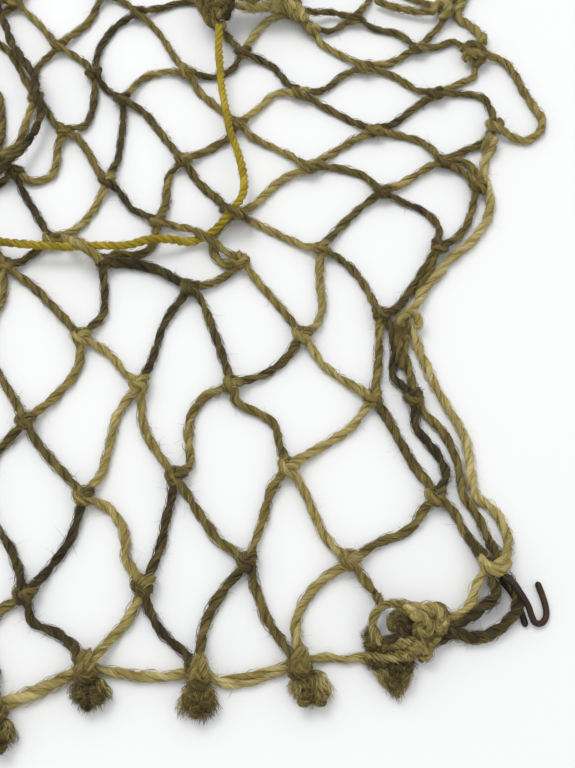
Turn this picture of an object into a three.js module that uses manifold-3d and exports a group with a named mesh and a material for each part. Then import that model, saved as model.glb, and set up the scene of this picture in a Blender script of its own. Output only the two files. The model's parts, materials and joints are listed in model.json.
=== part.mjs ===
// A hand-knotted net of jute twine, lying flat on a table. It has diamond meshes on a foot
// rope with frayed knot tails, a side line, a big corner knot with an eye and an iron hook,
// and a mustard draw cord across the top. Units are millimetres, +Z is up, and the net lies
// on z = 0. The layout is drawn from a point near the middle of the net; at the end it is
// moved so that the origin is under the middle of the net, without its loose draw cord.

import * as THREE from 'three';
import { mergeVertices } from 'three/addons/utils/BufferGeometryUtils.js';
import Module from 'manifold-3d';

const wasm = await Module();
wasm.setup();

// ---------- driving dimensions ----------

const TWINE_RADIUS = 2.0;
const ROPE_RADIUS = 2.4;
const WIRE_RADIUS = 1.4;
const CORD_RADIUS = 2.1;
const TWINE_SIDES = 5;
const LINE_SIDES = 6;
const WIRE_SIDES = 8;
const GAP = 0.35;

const LOW = TWINE_RADIUS + 0.1; // height of a twine that lies on the table
const HIGH = 6.9; // height of a twine tied over another
const OVER_ROPE = 2 * ROPE_RADIUS + TWINE_RADIUS + GAP + 0.1;
const NEAR_KNOT = 8; // a bar keeps its height this far from its knots

const BIGHT_HALF_WIDTH = 2.3;
const BIGHT_DEPTH = 2.8;
const KNOT_RADIUS = 5.0;
const KNOT_HEIGHT = 7.1;
const KNOT_FLATNESS = 0.6;

const TAIL_LENGTH = 15;
const TAIL_FLATNESS = 0.58;
const TAIL_HEIGHT = 4.6;
const TAIL_NECK = 5.6; // from the middle of the foot rope to the neck of a tail

// ---------- colours ----------

const finish = (color, roughness = 0.95, metalness = 0) =>
  new THREE.MeshStandardMaterial({ color, roughness, metalness });
const DARK_JUTE = finish(0x4f4225);
const OLIVE_JUTE = finish(0x766a3c);
const PALE_JUTE = finish(0xa5935f);
const MUSTARD_CORD = finish(0xa68a24, 0.9);
const RUSTY_IRON = finish(0x3b3226, 0.6, 0.7);

// ---------- knots: x and y of each, from the left to the right of its row ----------

const KNOTS = {
  Bx: [-160, -155], B0: [-117, -147], B1: [-82, -131], B2: [-36, -133], B3: [5, -129],
  Cy: [-203, -106], Cx: [-154, -105], C0: [-111, -101], C1: [-61, -97], C2: [-17, -86],
  C3: [27, -86],
  Dx: [-178, -62], D0: [-138, -60], D1: [-90, -56], D2: [-50, -47], D3: [0, -42],
  D4: [66, -56],
  Ex: [-160, -22], E0: [-120, -19], E1: [-69, 0], E2: [-26, 0], E3: [40, -7], E4: [59, -7],
  Fx: [-190, 20], F0: [-148, 22], F1: [-99, 26], F2: [-48, 54], F3: [7, 27], F4: [45, 38],
  Gx: [-186, 62], G0: [-141, 67], G1: [-92, 69], G2: [-23, 70], G3: [17, 77], G4: [76, 78],
  Hx: [-165, 96], H0: [-119, 83], H1: [-66, 94], H2: [-28, 99], H3: [49, 113], H4: [99, 116],
  Ix: [-188, 130], I0: [-143, 126], I1: [-94, 120], I2: [-55, 134], I3: [11, 129],
  I4: [82, 133],
  Jx: [-154, 134], J0: [-120, 154], J1: [-90, 176], J2: [-26, 159], J3: [46, 154],
  J4: [112, 157],
  Kx: [-172, 196], K0: [-137, 176], K1: [-107, 195], K2: [-56, 196], K3: [7, 181],
  K4: [81, 180],
  Lx: [-176, 226], L0: [-129, 216], L1: [-86, 242], L2: [-25, 211], L3: [43, 200],
  L4: [104, 211],
  M0: [-157, 250], M1: [-107, 258], M2: [-46, 250], M3: [14, 229], M4: [73, 214],
  N0: [-132, 288], N1: [-85, 286], N2: [-12, 264], N3: [39, 238], N4: [92, 244],
  O1: [-108, 310], O2: [-48, 304], O3: [6, 284], O4: [54, 268],
};

// ---------- the rows: knots and the bends between them ----------
// A row hangs from its upper knots, which it is tied into, and carries the next row in the
// bights at its lower knots. A bend is x and y, with a height where the row needs one.

const ROWS = [
  { name: 'net_row_01', lower: 'B', lowZ: OVER_ROPE, twine: OLIVE_JUTE, path: [
    [-228, -140], 'Cy', [-186, -126], 'Bx', [-152, -130], 'Cx', [-144, -124], 'B0',
    [-120, -133], [-126, -121], [-121, -108], 'C0', [-107, -113], [-96, -118],
    [-88, -124], 'B1', [-74, -121],
    [-67, -112], 'C1', [-58, -109], [-51, -119], [-42, -126], 'B2', [-35, -116],
    [-30, -104], 'C2', [-10, -109], [-3, -120], 'B3', [4, -112], [12, -98], 'C3',
    [33, -95], [36.5, -99, 7]] },
  { name: 'net_row_02', lower: 'C', lowZ: LOW, twine: DARK_JUTE, path: [
    [-233.2, -84], 'Cy', [-190, -82], 'Dx', [-164, -84], 'Cx', [-146, -80], 'D0',
    [-123, -77], [-117, -87], 'C0', [-103, -91], [-95, -77], 'D1', [-78, -63],
    [-71, -74], [-70, -85], 'C1', [-56, -83], [-54, -72], 'D2', [-40, -63], [-30, -77],
    'C2', [-12, -72], [-7, -53], 'D3', [5, -49], [18, -78], 'C3', [38, -79], [55, -71],
    [60, -63], 'D4', [72, -62], [77, -72], [82, -80.5, 5]] },
  { name: 'net_row_03', lower: 'D', lowZ: LOW, twine: OLIVE_JUTE, path: [
    [-234.6, -42], 'Dx', [-170, -44], 'Ex', [-150, -42], 'D0', [-134, -38], 'E0',
    [-115, -29], [-98, -48], 'D1', [-84, -47], [-78, -15], 'E1', [-66, -22], [-62, -30],
    'D2', [-44, -42], [-45, -19], [-39, -7], 'E2', [-24, -9], [-7, -20], [-4, -30], 'D3',
    [10, -36], [30, -22], 'E3', [45, -15], [56, -39], 'D4', [71, -47], [68, -36],
    [59, -22], 'E4', [63, -15], [72, -26], [77, -42], [78, -56], [84, -66],
    [87, -77, 5]] },
  { name: 'net_row_04', lower: 'E', lowZ: LOW, twine: OLIVE_JUTE, path: [
    [-234.2, 2], 'Fx', [-172, -2], 'Ex', [-152, -2], 'F0', [-133, 0], 'E0', [-107, -5],
    [-99, 10], 'F1', [-84, 15], [-77, 6], 'E1', [-65, 10], [-59, 35], 'F2', [-43, 48],
    [-34, 24], 'E2', [-11, 5], [0, 15], 'F3', [11, 20], [17, 10], [25, 3], 'E3',
    [43, 8], [44, 22], 'F4', [50, 31], [51, 16], [50, 4], 'E4', [58, 6], [56, 17],
    [55.5, 27, 5]] },
  { name: 'net_row_05', lower: 'F', lowZ: LOW, twine: OLIVE_JUTE, path: [
    [-234.8, 44], 'Fx', [-184, 40], 'Gx', [-166, 44], 'F0', [-140, 47], 'G0', [-123, 52],
    [-103, 30], 'F1', [-90, 37], [-90, 50], 'G1', [-79, 67.5], [-61, 63], 'F2',
    [-40, 55], [-29, 62], 'G2', [-9, 50], [1, 36], 'F3', [14, 32], [17, 43], [16, 56],
    'G3', [25, 72], [35, 61], [42, 46], 'F4', [53, 41], [61, 53], [68, 65], 'G4',
    [72, 67], [66.5, 55], [63, 48.5, 2.3]] },
  { name: 'net_row_06', lower: 'G', lowZ: LOW, twine: DARK_JUTE, path: [
    [-232.8, 82], 'Gx', [-178, 80], 'Hx', [-151, 84], 'G0', [-133, 69], 'H0',
    [-106, 82], [-98, 76], 'G1', [-86, 74], [-74, 74], [-68, 80], 'H1', [-57, 91, 3.4],
    [-50, 88.6, 7.6], [-44, 85.6, 10], [-39.5, 82.2, 10.8], [-35.5, 79, 9], [-32, 75.5, 5.2],
    'G2', [-31, 67.5], [-36, 73, 2.1], [-38, 82, 2.1], [-34.5, 89, 3.8], 'H2', [-11, 90], [8, 79], 'G3',
    [22, 84], [30, 94], [40, 105], 'H3', [59, 107], [70, 101], [77, 91], 'G4', [84, 82],
    [92, 93], 'H4'] },
  { name: 'net_row_07', lower: 'H', lowZ: LOW, twine: PALE_JUTE, path: [
    [-229.4, 112], 'Ix', [-178, 110], 'Hx', [-155, 114], 'I0', [-138, 114], [-123, 89],
    'H0', [-108, 89], [-98, 106], 'I1', [-88, 114], [-80, 102], 'H1', [-63, 104],
    [-62, 124], 'I2', [-48, 122], [-36, 108], 'H2', [-19, 103], [-3, 121], 'I3',
    [23, 129.5], [40, 124], 'H3', [58, 117], [74, 129], 'I4', [94, 133], [100, 124]] },
  { name: 'net_row_08', lower: 'I', lowZ: LOW, twine: OLIVE_JUTE, path: [
    [-224.2, 146], 'Ix', [-170, 138], 'Jx', 'I0', [-134, 120], [-124, 124], [-122, 144],
    'J0', [-112, 149], [-99, 127], 'I1', [-90, 134], [-89, 160], 'J1', [-78, 167],
    [-62, 144], 'I2', [-46, 139], [-33, 148], 'J2', [-20, 151], [0, 138], 'I3',
    [20, 136], [33, 146], 'J3', [60, 151], [73, 146], 'I4', [92, 139], [105, 147],
    'J4'] },
  { name: 'net_row_09', lower: 'J', lowZ: LOW, twine: DARK_JUTE, path: [
    [-216.4, 180], 'Kx', [-159, 180], [-154, 156], 'Jx', [-144, 146], [-141, 164], 'K0',
    [-132, 171], [-126, 160], 'J0', [-110, 157], [-106, 172], 'K1', [-99, 183], 'J1',
    [-79, 193], [-66, 197], 'K2', [-48, 182], [-34, 167], 'J2', [-15, 171], [-6, 181],
    'K3', [22, 170], [37, 160], 'J3', [57, 159], [71, 172], 'K4', [92, 181], [107, 178],
    [111, 168], 'J4'] },
  { name: 'net_row_10', lower: 'K', lowZ: LOW, twine: OLIVE_JUTE, path: [
    [-211.2, 206], 'Kx', [-178, 210], 'Lx', [-158, 214], [-147, 194], 'K0', [-140, 200],
    'L0', [-114, 204], 'K1', [-106, 215], [-97, 234], 'L1', [-76, 231], [-62, 206],
    'K2', [-41, 193], [-30, 200], 'L2', [-8, 201], [0, 188], 'K3', [19, 183], [32, 195],
    'L3', [59, 194], [72, 183], 'K4', [94, 187.5], [104, 194], 'L4'] },
  { name: 'net_row_11', lower: 'L', lowZ: LOW, twine: OLIVE_JUTE, path: [
    [-205.4, 238], 'Lx', [-166, 240], 'M0', [-146, 238], 'L0', [-115, 234], 'M1',
    [-93, 250], 'L1', [-75, 246], [-60, 252], 'M2', [-41, 236], [-31, 219], 'L2',
    [-18, 227], [-11, 237], [-2, 242], [6, 238], 'M3', [19, 219], [32, 208], 'L3',
    [58, 204], 'M4', [84, 215.5], [94, 220], 'L4'] },
  { name: 'net_row_12', lower: 'M', lowZ: LOW, twine: PALE_JUTE, path: [
    [-201.2, 262], 'M0', [-148, 270], 'N0', [-122, 276], 'M1', [-98, 272], 'N1',
    [-66, 270], 'M2', [-32, 262], 'N2', [-8, 251, 4], [1, 246, 2.2], [10, 239, 2.1], 'M3',
    [24, 228], [32, 233], 'N3', [50, 230], [63, 226], 'M4', [81, 224], [90, 237],
    'N4'] },
  { name: 'net_row_13', lower: 'N', lowZ: LOW, twine: DARK_JUTE, path: [
    [-176, 304, 5], 'N0', [-122, 300], 'O1', [-98, 300], 'N1', [-68, 294], 'O2',
    [-32, 280], 'N2', [-4, 276], 'O3', [5, 262, 6.9], [6, 246, 6.9], [14, 241, 6.9],
    [25, 242, 4.6], 'N3', [47, 252], 'O4', [70, 256], 'N4', [95, 254, 2.1]] },
];

// ---------- the lines round the edge, and the pieces on them: x, y and height ----------

const FOOT_ROPE = [
  [-224, -151], [-200, -156], [-180, -157], [-160, -155], [-138, -152], [-117, -147],
  [-106, -143], [-96, -138], [-89, -133], [-82, -131], [-74, -134], [-62, -136],
  [-48, -136], [-36, -133], [-28, -137], [-18, -137], [-6, -133], [5, -129], [13, -128],
  [23, -129], [33, -127.5],
];
const HEAD_ROPE = [
  [-189, 304], [-170, 309], [-140, 311], [-108, 310], [-80, 309], [-48, 304],
  [-20, 292], [6, 284], [30, 274], [54, 268], [76, 268], [98, 271],
];
const LEFT_SIDE_LINE = [
  [-237, -138], [-239, -110], [-236, -75], [-238, -35], [-237, 5], [-238, 45],
  [-236, 85], [-231, 120], [-225, 155], [-219, 185], [-213, 215], [-207, 245],
  [-202, 270], [-198, 290],
];
const RIGHT_SIDE_LINE = [
  [111, 147, 3], [107, 137, 2.6], [106, 126, 2.4], [106.5, 114, 2.4], [106, 104, 2.4],
  [102, 92, 2.4], [93, 79, 2.4], [83, 70, 2.4], [75.5, 60, 2.4], [71.5, 52.5, 3],
  [64.5, 42.5, 5], [60, 34, 5], [62, 27, 4], [63.5, 16, 2.6], [67, 6, 2.4], [72, -5, 2.4],
  [77, -16, 2.4], [81, -28, 2.4], [83, -42, 2.4], [84, -56, 2.4], [91, -62, 2.4],
  [95.5, -70, 2.4], [96, -79, 3.5], [92, -86, 6], [86, -87.5, 6.5], [81, -92, 6],
  [78.5, -99, 4.5], [76, -105, 3.5], [71, -108.5, 3.5],
];
const SIDE_KNOT = [60.5, 35.5, 5];
const UPPER_SIDE_LINE = [
  [106, 263, 2.4], [102, 252, 2.4], [98, 240, 2.4], [106, 231, 2.4], [111, 223, 2.6],
  [110.5, 218, 4],
];
const SIDE_LOOP = [
  [113, 207.5, 4], [119.5, 206, 2.8], [126, 197, 2.2], [130, 183, 2.2], [135, 171, 2.2],
  [138, 162, 2.2], [135, 153, 2.2], [128, 147.5, 2.2], [122, 148.5, 2.8],
  [119.5, 152, 4],
];
const FOLDED_BIGHT = [
  [-170, 256, 9], [-160, 232, 9.5], [-153, 214, 9.5], [-146, 203, 9.5], [-138, 190, 10],
  [-135, 177, 12.2], [-132, 165, 9.5], [-134, 152, 9], [-138, 141, 9.5],
  [-143, 132, 12.2], [-152, 122, 9], [-166, 116, 6], [-184, 112, 9.8],
];
const EYE_LOOP = [
  [70.3, -113, 6], [76, -111, 5.6], [82, -106, 5.4], [86.5, -101, 5.4], [86.8, -95, 5.4],
  [88.6, -91.6, 5.4], [92, -91.2, 5.4], [95.3, -94.5, 5.4], [97.3, -100, 5.4],
  [96.8, -106, 5.4], [93.5, -111, 5.4], [87, -116, 4], [78, -119, 3.4],
  [69.8, -117.6, 4.4],
];
const HOOK_WIRE = [
  [100, -115, 1.4], [98.9, -109.5, 1.4], [96.8, -103, 1.4], [94, -98, 1.4],
  [91.9, -95.9, 2.4], [91.1, -95.2, 5.3], [91.9, -95.9, 8.4], [94.6, -98.6, 9.4],
  [97.8, -103.5, 9.4], [100.4, -108, 8], [102, -111.3, 5.2], [103.8, -113.5, 2.6],
  [106.4, -113.6, 1.5], [108.6, -111.4, 1.4], [109.3, -108, 1.4], [108.7, -103, 1.4],
  [107.6, -98.5, 1.4], [106.8, -95.5, 1.4],
];
const DRAW_CORD = [
  [-38, 219.5, 15], [-38, 214, 12.4], [-38, 206, 10.8], [-37, 194, 10.6], [-36, 181, 9.6],
  [-34, 168, 10.6], [-32, 157, 10.4], [-30, 146, 10.2], [-26, 134, 9.4], [-23, 121, 9.2],
  [-22, 109, 11.2], [-24, 100, 12.6], [-29, 92, 12.2], [-35, 86, 8.6], [-39, 83.6, 6.4],
  [-43.5, 82, 4.6], [-50, 79.8, 4.2], [-58, 78.4, 8.4], [-68, 77, 10.4], [-80, 74, 9.8], [-93, 72, 12.2], [-106, 72.5, 10.6],
  [-119, 73, 10.6], [-132, 74, 11], [-145, 76, 10.8], [-157, 79, 9.6], [-170, 84, 10.4],
  [-183, 87, 9.6], [-196, 88, 9], [-209, 87.5, 8.4], [-219, 87, 7],
];

const TAILS = ['Bx', 'B0', 'B1', 'B2', 'B3'];

// ---------- geometry helpers ----------

/** A path whose samples are its own corner points, so that a sweep keeps every bend. */
class RoutePath extends THREE.Curve {
  constructor(points) {
    super();
    this.points = points;
  }

  getPoint(t, target = new THREE.Vector3()) {
    const place = t * (this.points.length - 1);
    const i = Math.min(Math.floor(place + 1e-6), this.points.length - 2);
    return target.lerpVectors(this.points[i], this.points[i + 1], place - i);
  }

  getPointAt(u, target) {
    return this.getPoint(u, target);
  }

  getTangentAt(u, target = new THREE.Vector3()) {
    const last = this.points.length - 1;
    const i = Math.round(u * last);
    target.set(0, 0, 0);
    if (i > 0) target.add(this.points[i].clone().sub(this.points[i - 1]).normalize());
    if (i < last) target.add(this.points[i + 1].clone().sub(this.points[i]).normalize());
    return target.normalize();
  }
}

function polygonShape(radius, sides) {
  const corners = [];
  for (let i = 0; i < sides; i += 1) {
    const angle = (i / sides) * 2 * Math.PI;
    corners.push(new THREE.Vector2(radius * Math.cos(angle), radius * Math.sin(angle)));
  }
  return new THREE.Shape(corners);
}

function tube(points, radius, sides) {
  const path = new RoutePath(points);
  return new THREE.ExtrudeGeometry(polygonShape(radius, sides), {
    steps: points.length - 1,
    extrudePath: path,
    curveSegments: 1,
  });
}

function toSolid(geometry) {
  geometry.deleteAttribute('normal');
  geometry.deleteAttribute('uv');
  const merged = mergeVertices(geometry, 1e-4);
  return new wasm.Manifold(new wasm.Mesh({
    numProp: 3,
    vertProperties: new Float32Array(merged.attributes.position.array),
    triVerts: new Uint32Array(merged.index.array),
  }));
}

function toGeometry(solid) {
  const mesh = solid.getMesh();
  const geometry = new THREE.BufferGeometry();
  geometry.setAttribute('position', new THREE.BufferAttribute(mesh.vertProperties, 3));
  geometry.setIndex(new THREE.BufferAttribute(mesh.triVerts, 1));
  return geometry;
}

function joined(geometries) {
  let solid = toSolid(geometries[0]);
  for (const geometry of geometries.slice(1)) {
    solid = solid.add(toSolid(geometry));
  }
  return solid;
}

function ball(x, y, z, radius, flatness = 1, detail = 0) {
  const geometry = new THREE.IcosahedronGeometry(radius, detail);
  geometry.scale(1, 1, flatness);
  geometry.translate(x, y, z);
  return geometry;
}

/** The half space above z = 0, as a big box. */
function aboveTable(x, y) {
  const box = new THREE.BoxGeometry(200, 200, 100);
  box.translate(x, y, 50);
  return toSolid(box);
}

function place(list, height = LOW) {
  return list.map(([x, y, z = height]) => new THREE.Vector3(x, y, z));
}

// ---------- the net's rows ----------

/** The turn that a row makes at one of its lower knots, between two neighbouring points. */
function bight(knot, before, after) {
  const toBefore = before.clone().sub(knot).setZ(0).normalize();
  const toAfter = after.clone().sub(knot).setZ(0).normalize();
  const opening = toBefore.clone().add(toAfter);
  if (opening.length() < 0.35) return [knot];
  opening.normalize();
  const depth = BIGHT_DEPTH * toBefore.dot(opening);
  const across = toBefore.clone().addScaledVector(opening, -toBefore.dot(opening));
  across.normalize();
  return [
    knot.clone().addScaledVector(across, BIGHT_HALF_WIDTH).addScaledVector(opening, -0.3),
    knot.clone().addScaledVector(opening, -depth),
    knot.clone().addScaledVector(across, -BIGHT_HALF_WIDTH).addScaledVector(opening, -0.3),
  ];
}

/** Give the bends between two stops their heights, from one knot's level to the other's. */
function setHeights(points, from, to) {
  const distances = [0];
  for (let i = from + 1; i <= to; i += 1) {
    const step = Math.hypot(points[i].x - points[i - 1].x, points[i].y - points[i - 1].y);
    distances.push(distances[distances.length - 1] + step);
  }
  const whole = distances[distances.length - 1];
  const reach = Math.min(NEAR_KNOT, whole / 3);
  for (let i = from + 1; i < to; i += 1) {
    if (points[i].fixed) continue;
    const share = (distances[i - from] - reach) / (whole - 2 * reach);
    points[i].z = THREE.MathUtils.lerp(
      points[from].z, points[to].z, THREE.MathUtils.clamp(share, 0, 1));
  }
}

function rowStops(row) {
  return row.path.map((stop) => {
    const isKnot = typeof stop === 'string';
    const [x, y, z] = isKnot ? KNOTS[stop] : stop;
    const isLower = isKnot && stop[0] === row.lower;
    const point = new THREE.Vector3(x, y, z ?? (isLower ? row.lowZ : HIGH));
    point.knot = isKnot ? (isLower ? 'lower' : 'upper') : null;
    point.fixed = z !== undefined;
    return point;
  });
}

function netRow(row) {
  const stops = rowStops(row);
  const last = stops.length - 1;
  if (!stops[0].knot && !stops[0].fixed) stops[0].z = LOW;
  if (!stops[last].knot && !stops[last].fixed) stops[last].z = LOW;
  const marks = [];
  stops.forEach((stop, i) => {
    if (stop.knot || i === 0 || i === last) marks.push(i);
  });
  for (let m = 1; m < marks.length; m += 1) setHeights(stops, marks[m - 1], marks[m]);

  const pieces = [];
  let run = [stops[0]];
  for (let i = 1; i <= last; i += 1) {
    const stop = stops[i];
    if (stop.knot === 'lower' && i < last) {
      run.push(...bight(stop, stops[i - 1], stops[i + 1]));
    } else {
      run.push(stop);
    }
    if (stop.knot === 'upper') {
      pieces.push(tube(run, TWINE_RADIUS, TWINE_SIDES));
      pieces.push(ball(stop.x, stop.y, KNOT_HEIGHT, KNOT_RADIUS, KNOT_FLATNESS));
      run = [stop];
    }
  }
  if (run.length > 1) pieces.push(tube(run, TWINE_RADIUS, TWINE_SIDES));
  return toGeometry(joined(pieces));
}

// ---------- the pieces at the edge ----------

/** A frayed knot tail: a flattened bell that starts at its neck and points along -Y. */
function frayedTail(width, length) {
  const half = width / 2;
  const profile = [
    [0, 0], [0.4 * half, 0], [0.72 * half, 0.22 * length], [half, 0.6 * length],
    [0.92 * half, 0.88 * length], [0.6 * half, length], [0, length],
  ].map(([radius, along]) => new THREE.Vector2(radius, along));
  const geometry = new THREE.LatheGeometry(profile, 8);
  geometry.scale(1, 1, TAIL_FLATNESS);
  geometry.rotateZ(Math.PI);
  return geometry;
}

function cornerKnotRight() {
  const ring = new THREE.TorusGeometry(8.2, 3.0, 6, 12);
  ring.translate(44.5, -111.5, 5);
  return joined([
    ring,
    ball(46, -104, 6.5, 5.6, 1, 1),
    ball(56, -106.5, 6.5, 6.4, 1, 1),
    ball(61.5, -110.5, 6, 6.8, 1, 1),
    ball(56, -116, 6, 8.4, 1, 1),
    ball(47.5, -121.5, 5.5, 7.5, 1, 1),
    ball(37.5, -120, 4.6, 4.8, 0.9, 1),
  ]).intersect(aboveTable(50, -112));
}

function cornerKnotLeft() {
  return joined([
    ball(-236, -150, 6.5, 8.5, 1, 1),
    ball(-243, -157, 5.5, 6.5, 1, 1),
    ball(-230, -157, 5, 5.2, 1, 1),
  ]).intersect(aboveTable(-236, -150));
}

function headCornerLeft() {
  return joined([
    ball(-197, 300, 6, 6.6, 1, 1),
    ball(-204, 306, 4.5, 4.8, 1, 1),
  ]).intersect(aboveTable(-197, 300));
}

function headCornerRight() {
  return joined([
    ball(106, 273, 6, 6.2, 1, 1),
    ball(113, 279, 4.5, 4.8, 1, 1),
  ]).intersect(aboveTable(106, 273));
}

function gatherKnot() {
  return joined([
    ball(-39, 232.5, 18, 8.5, 0.85, 1),
    ball(-34, 241.5, 19, 9, 0.8, 1),
    ball(-44, 240.5, 18, 8, 0.85, 1),
    ball(-37, 226.5, 17, 6, 0.85, 1),
  ]);
}

function gatheredHank() {
  const points = place([
    [-24.2, 242, 16], [-16, 245, 14.6], [-6, 246, 14.4], [3, 243, 14.6], [8, 238, 15],
  ]);
  return joined([
    tube(points, 5, 8),
    ball(9, 236.5, 15, 5, 1, 1),
    ball(-14, 250, 15.4, 5.5, 1, 1),
  ]);
}

function drawCordHitch() {
  return joined([
    ball(-227, 87, 7.4, 5.4, 1, 1),
    ball(-223.5, 82, 7, 3.6, 1, 1),
  ]);
}

// ---------- the assembly ----------

const net = new THREE.Group();

function addPiece(name, shape, material, position = [0, 0, 0], turn = 0) {
  const geometry = shape.isBufferGeometry ? shape : toGeometry(shape);
  const mesh = new THREE.Mesh(geometry, material);
  mesh.name = name;
  mesh.position.set(...position);
  mesh.rotation.z = turn;
  net.add(mesh);
  return mesh;
}

for (const row of ROWS) {
  addPiece(row.name, netRow(row), row.twine);
}

addPiece('foot_rope', tube(place(FOOT_ROPE, ROPE_RADIUS + 0.1), ROPE_RADIUS, LINE_SIDES),
  PALE_JUTE);
addPiece('head_rope', tube(place(HEAD_ROPE), TWINE_RADIUS, LINE_SIDES), PALE_JUTE);
addPiece('side_line_left', tube(place(LEFT_SIDE_LINE), TWINE_RADIUS, LINE_SIDES),
  PALE_JUTE);
addPiece('side_line_right', joined([
  tube(place(RIGHT_SIDE_LINE), TWINE_RADIUS, LINE_SIDES),
  ball(...SIDE_KNOT, 4.9, 0.9),
]), PALE_JUTE);
addPiece('side_line_upper', tube(place(UPPER_SIDE_LINE), TWINE_RADIUS, LINE_SIDES),
  PALE_JUTE);
addPiece('side_loop', tube(place(SIDE_LOOP), TWINE_RADIUS, LINE_SIDES), PALE_JUTE);
addPiece('folded_bight', tube(place(FOLDED_BIGHT), TWINE_RADIUS, LINE_SIDES), DARK_JUTE);
addPiece('eye_loop', tube(place(EYE_LOOP), TWINE_RADIUS, LINE_SIDES), DARK_JUTE);
addPiece('iron_hook', tube(place(HOOK_WIRE), WIRE_RADIUS, WIRE_SIDES), RUSTY_IRON);

addPiece('corner_knot_right', cornerKnotRight(), PALE_JUTE);
addPiece('corner_knot_left', cornerKnotLeft(), PALE_JUTE);
addPiece('head_knot_left', headCornerLeft(), PALE_JUTE);
addPiece('head_knot_right', headCornerRight(), PALE_JUTE);
addPiece('gather_knot', gatherKnot(), DARK_JUTE);
addPiece('gathered_hank', gatheredHank(), PALE_JUTE);

TAILS.forEach((knot, i) => {
  const [x, y] = KNOTS[knot];
  addPiece(`frayed_tail_${i + 1}`, frayedTail(15.5, TAIL_LENGTH), OLIVE_JUTE,
    [x, y - TAIL_NECK, TAIL_HEIGHT]);
});
addPiece('frayed_tail_corner', frayedTail(15, 15), PALE_JUTE, [44.5, -130.3, TAIL_HEIGHT]);

addPiece('draw_cord_hitch', drawCordHitch(), MUSTARD_CORD);
addPiece('draw_cord', tube(place(DRAW_CORD), CORD_RADIUS, WIRE_SIDES), MUSTARD_CORD);

// ---------- the origin: under the middle of the net, without its loose draw cord ----------

const extent = new THREE.Box3();
net.children
  .filter((mesh) => mesh.name !== 'draw_cord')
  .forEach((mesh) => extent.expandByObject(mesh, true));
const middle = extent.getCenter(new THREE.Vector3());
net.position.set(-middle.x, -middle.y, -extent.min.z);

export default net;
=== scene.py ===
import json
import math

import bpy
import numpy as np
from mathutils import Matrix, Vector


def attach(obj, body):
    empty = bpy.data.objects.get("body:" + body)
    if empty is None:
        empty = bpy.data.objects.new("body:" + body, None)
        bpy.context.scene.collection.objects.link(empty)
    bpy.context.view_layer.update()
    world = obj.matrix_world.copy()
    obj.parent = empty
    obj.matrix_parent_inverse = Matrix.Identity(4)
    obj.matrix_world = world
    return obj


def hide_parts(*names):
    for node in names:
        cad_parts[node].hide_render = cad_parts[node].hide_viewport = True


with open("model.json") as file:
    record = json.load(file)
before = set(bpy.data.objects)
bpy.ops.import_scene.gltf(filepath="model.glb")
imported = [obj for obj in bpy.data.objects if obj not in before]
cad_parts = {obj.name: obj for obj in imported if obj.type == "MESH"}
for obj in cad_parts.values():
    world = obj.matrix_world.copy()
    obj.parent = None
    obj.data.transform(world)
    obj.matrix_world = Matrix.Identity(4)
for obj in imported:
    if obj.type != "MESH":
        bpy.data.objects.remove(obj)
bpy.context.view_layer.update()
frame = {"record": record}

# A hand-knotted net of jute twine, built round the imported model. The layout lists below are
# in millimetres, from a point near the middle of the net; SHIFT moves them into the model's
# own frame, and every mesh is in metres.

MM = 0.001  # metres in a millimetre

# ---------- sizes in millimetres ----------

TWINE = 1.95  # radius of the netting twine
LIE = 2.1  # height of a twine that lies on the table
KNOT_LIFT = 2.6  # how much higher it is beside a knot
LIFT_REACH = 9.0  # how far along a bar that lift reaches
FOOT_LIFT = 3.4  # how much higher a bight is where it is tied round the foot rope
LEG = 5.4  # from the middle of a knot to where its bars leave it
REACH_LINE = 3.2  # how far a row's first end goes on, to reach the side line
STEP = 0.9  # distance between two sections along a strand
LEAN = 0.53  # how far a raised point lies nearer the front than its layout point, per mm
TURN = 21.0  # length of one turn of a twine's two plies
LOWEST = 0.05  # nothing comes nearer the table than this
REST_POINT = (56.0, -116.0)  # layout point of the mount rest_face

MOUNT = frame["record"]["mounts"][0]["pos_m"]
SHIFT = np.array([MOUNT[0] * 1000 - REST_POINT[0], MOUNT[1] * 1000 - REST_POINT[1], 0.0])

# ---------- how a strand varies ----------

# Millimetres from one random change along a strand to the next.
WANDER_EVERY, TWIST_EVERY, TONE_EVERY = 14, 30, 17
SWELL_EVERY, PINCH_EVERY, SLUB_EVERY, GRAIN_EVERY = 25, 7, 9, 16

SWELL, PINCH = 0.08, 0.07  # slow and quick change of a strand's thickness, as a share of it
SLUB = 0.14  # how much thicker a ply is at a slub
GRAIN = 0.032  # depth of the ridges that the fibres make, as a share of a ply's radius
RIDGES = (2, 3, 4, 5)  # ridges round a ply, one set on top of the other
FIBRE_LAY = 0.35  # how fast the fibres wind round a ply, in radians for each mm
PLY_RADIUS = {1: 1.0, 2: 0.73, 3: 0.62}  # a ply's share of the strand's radius
HUG_PER_MM, STRAY_PER_MM = 1.9, 0.85  # fibres along a strand, and fibres that stand off it

DARK, OLIVE, PALE = 0.22, 0.46, 0.73  # tones of the jute, as its material reads them
PLY_GAP_PAINTED_SHADE = 0.30  # painted shade: how much darker the gap between two plies is painted, where each ply shades the other
GRAIN_TONE = 0.035  # how much darker or paler a ridge of the grain is
FAR_THINNING = 0.009  # the twine gets thinner by this share from one row to the next

# ---------- the layout ----------


def layout(text):
    """The stops in a text: names of knots, and points as x,y or x,y,height."""
    return [stop if stop[0].isalpha() else [float(v) for v in stop.split(",")]
            for stop in text.split()]


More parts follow.
